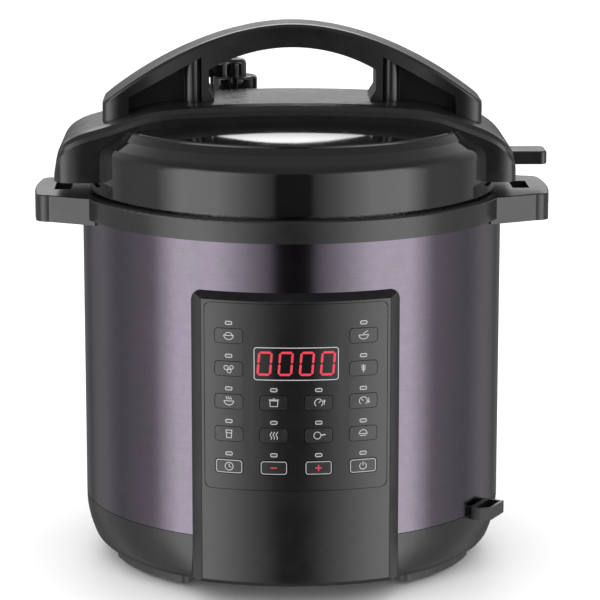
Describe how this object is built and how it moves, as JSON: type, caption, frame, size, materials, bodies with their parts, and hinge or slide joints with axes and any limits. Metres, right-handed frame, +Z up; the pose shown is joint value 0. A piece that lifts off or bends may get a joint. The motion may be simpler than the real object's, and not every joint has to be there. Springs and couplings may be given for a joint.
{
  "type": "electric pressure cooker",
  "caption": "Round electric pressure cooker with a violet-grey steel body, black lid with a high arched handle, a curved black key panel with a display, and side carrying handles.",
  "frame": {"origin": "centre of the cooker's footprint on the surface it stands on: the pot's axis at the height of the rubber feet's undersides", "axes": "+Z up along the pot's axis; -Y towards the front, where the control panel is; +X to the right seen from the front"},
  "size_m": [0.336, 0.2989, 0.3517],
  "materials": {
    "shell_steel": "satin stainless steel with a faint violet tint",
    "black_gloss": "glossy",
    "black_satin": "semi-gloss",
    "black_matte": "fine texture",
    "rubber_black": "matte",
    "screw_steel": "plain steel",
    "overlay_black": "printed film, satin",
    "window_dark": "glossy, smoked",
    "display_glow": "red glowing digits on black",
    "lens_white": "milky",
    "board_green": "lacquered",
    "component_grey": "moulded",
    "liner_steel": "drawn sheet",
    "cast_aluminium": "turned",
    "probe_aluminium": "bright",
    "spring_steel": "bright wire",
    "pin_brass": "nickel-washed",
    "clear_plastic": "smoked, translucent",
    "pot_coating": "non-stick coating",
    "lid_steel": "polished steel",
    "silicone": "translucent silicone",
    "key_black": "satin"
  },
  "bodies": {
    "base": {"outer_shell": "shell_steel", "base_bowl": "black_satin", "bottom_cover": "black_matte", "rubber_feet": "rubber_black", "base_screws": "screw_steel", "upper_ring": "black_satin", "panel_housing": "black_gloss", "control_overlay": "overlay_black", "display_window": "window_dark", "display_module": "display_glow", "indicator_lenses": "lens_white", "control_board": "board_green", "tact_switches": "component_grey", "liner": "liner_steel", "heating_plate": "cast_aluminium", "heater_terminals": "screw_steel", "probe_spring": "spring_steel", "spring_plate": "screw_steel", "pressure_switch": "component_grey", "thermal_fuse": "component_grey", "power_board": "board_green", "power_parts": "component_grey", "power_inlet": "black_matte", "inlet_pins": "pin_brass", "ladle_holder": "black_satin", "cup_bracket": "black_satin"},
    "probe": {"temperature_probe": "probe_aluminium"},
    "cup": {"condensation_cup": "clear_plastic"},
    "pot": {"inner_pot": "pot_coating"},
    "lid_seal": {"sealing_ring": "silicone"},
    "lid": {"lid_cover": "black_gloss", "lid_bar": "black_gloss", "lid_handle": "black_gloss", "lid_plate": "lid_steel", "ring_rack": "screw_steel", "steam_pipe": "lid_steel", "anti_block_shield": "lid_steel", "handle_screws": "screw_steel"},
    "steam_valve": {"steam_valve": "black_gloss"},
    "float_valve": {"float_valve": "lid_steel", "float_gasket": "silicone"},
    "key_delay": {"key_delay": "key_black"},
    "key_yogurt": {"key_yogurt": "key_black"},
    "key_soup": {"key_soup": "key_black"},
    "key_beans": {"key_beans": "key_black"},
    "key_rice": {"key_rice": "key_black"},
    "key_minus": {"key_minus": "key_black"},
    "key_steam": {"key_steam": "key_black"},
    "key_stew": {"key_stew": "key_black"},
    "key_plus": {"key_plus": "key_black"},
    "key_saute": {"key_saute": "key_black"},
    "key_high_pressure": {"key_high_pressure": "key_black"},
    "key_cancel": {"key_cancel": "key_black"},
    "key_slow_cook": {"key_slow_cook": "key_black"},
    "key_low_pressure": {"key_low_pressure": "key_black"},
    "key_grain": {"key_grain": "key_black"},
    "key_porridge": {"key_porridge": "key_black"}
  },
  "joints": [
    {"name": "lid_lift", "type": "slide", "parent": "base", "child": "lid_seal", "axis": [0, 0, 1], "range_m": [0, 0.34]},
    {"name": "lid_turn", "type": "hinge", "parent": "lid_seal", "child": "lid", "pos_m": [0, 0, 0.26], "axis": [0, 0, -1], "range_deg": [0, 30]},
    {"name": "pot_lift", "type": "slide", "parent": "base", "child": "pot", "axis": [0, 0, 1], "range_m": [0, 0.17]},
    {"name": "steam_release", "type": "hinge", "parent": "lid", "child": "steam_valve", "pos_m": [-0.038, 0.066, 0.3], "axis": [0, 0, 1], "range_deg": [0, 45]},
    {"name": "float_rise", "type": "slide", "parent": "lid", "child": "float_valve", "axis": [0, 0, 1], "range_m": [0, 0.004]},
    {"name": "probe_press", "type": "slide", "parent": "base", "child": "probe", "axis": [0, 0, 1], "range_m": [-0.003, 0], "stiffness_N_per_m": 500, "springref_m": 0.002, "deforming": ["probe_spring"]},
    {"name": "cup_slide", "type": "slide", "parent": "base", "child": "cup", "axis": [0, 1, 0], "range_m": [0, 0.05]},
    {"name": "key_delay_press", "type": "slide", "parent": "base", "child": "key_delay", "axis": [0, 1, 0], "range_m": [0, 0.0005], "stiffness_N_per_m": 800, "springref_m": -0.001},
    {"name": "key_yogurt_press", "type": "slide", "parent": "base", "child": "key_yogurt", "axis": [0, 1, 0], "range_m": [0, 0.0005], "stiffness_N_per_m": 800, "springref_m": -0.001},
    {"name": "key_soup_press", "type": "slide", "parent": "base", "child": "key_soup", "axis": [0, 1, 0], "range_m": [0, 0.0005], "stiffness_N_per_m": 800, "springref_m": -0.001},
    {"name": "key_beans_press", "type": "slide", "parent": "base", "child": "key_beans", "axis": [0, 1, 0], "range_m": [0, 0.0005], "stiffness_N_per_m": 800, "springref_m": -0.001},
    {"name": "key_rice_press", "type": "slide", "parent": "base", "child": "key_rice", "axis": [0, 1, 0], "range_m": [0, 0.0005], "stiffness_N_per_m": 800, "springref_m": -0.001},
    {"name": "key_minus_press", "type": "slide", "parent": "base", "child": "key_minus", "axis": [0, 1, 0], "range_m": [0, 0.0005], "stiffness_N_per_m": 800, "springref_m": -0.001},
    {"name": "key_steam_press", "type": "slide", "parent": "base", "child": "key_steam", "axis": [0, 1, 0], "range_m": [0, 0.0005], "stiffness_N_per_m": 800, "springref_m": -0.001},
    {"name": "key_stew_press", "type": "slide", "parent": "base", "child": "key_stew", "axis": [0, 1, 0], "range_m": [0, 0.0005], "stiffness_N_per_m": 800, "springref_m": -0.001},
    {"name": "key_plus_press", "type": "slide", "parent": "base", "child": "key_plus", "axis": [0, 1, 0], "range_m": [0, 0.0005], "stiffness_N_per_m": 800, "springref_m": -0.001},
    {"name": "key_saute_press", "type": "slide", "parent": "base", "child": "key_saute", "axis": [0, 1, 0], "range_m": [0, 0.0005], "stiffness_N_per_m": 800, "springref_m": -0.001},
    {"name": "key_high_pressure_press", "type": "slide", "parent": "base", "child": "key_high_pressure", "axis": [0, 1, 0], "range_m": [0, 0.0005], "stiffness_N_per_m": 800, "springref_m": -0.001},
    {"name": "key_cancel_press", "type": "slide", "parent": "base", "child": "key_cancel", "axis": [0, 1, 0], "range_m": [0, 0.0005], "stiffness_N_per_m": 800, "springref_m": -0.001},
    {"name": "key_slow_cook_press", "type": "slide", "parent": "base", "child": "key_slow_cook", "axis": [0, 1, 0], "range_m": [0, 0.0005], "stiffness_N_per_m": 800, "springref_m": -0.001},
    {"name": "key_low_pressure_press", "type": "slide", "parent": "base", "child": "key_low_pressure", "axis": [0, 1, 0], "range_m": [0, 0.0005], "stiffness_N_per_m": 800, "springref_m": -0.001},
    {"name": "key_grain_press", "type": "slide", "parent": "base", "child": "key_grain", "axis": [0, 1, 0], "range_m": [0, 0.0005], "stiffness_N_per_m": 800, "springref_m": -0.001},
    {"name": "key_porridge_press", "type": "slide", "parent": "base", "child": "key_porridge", "axis": [0, 1, 0], "range_m": [0, 0.0005], "stiffness_N_per_m": 800, "springref_m": -0.001}
  ],
  "couplings": [
    {"joint": "pot_lift", "follows": "lid_lift", "ratio": 0.5}
  ]
}
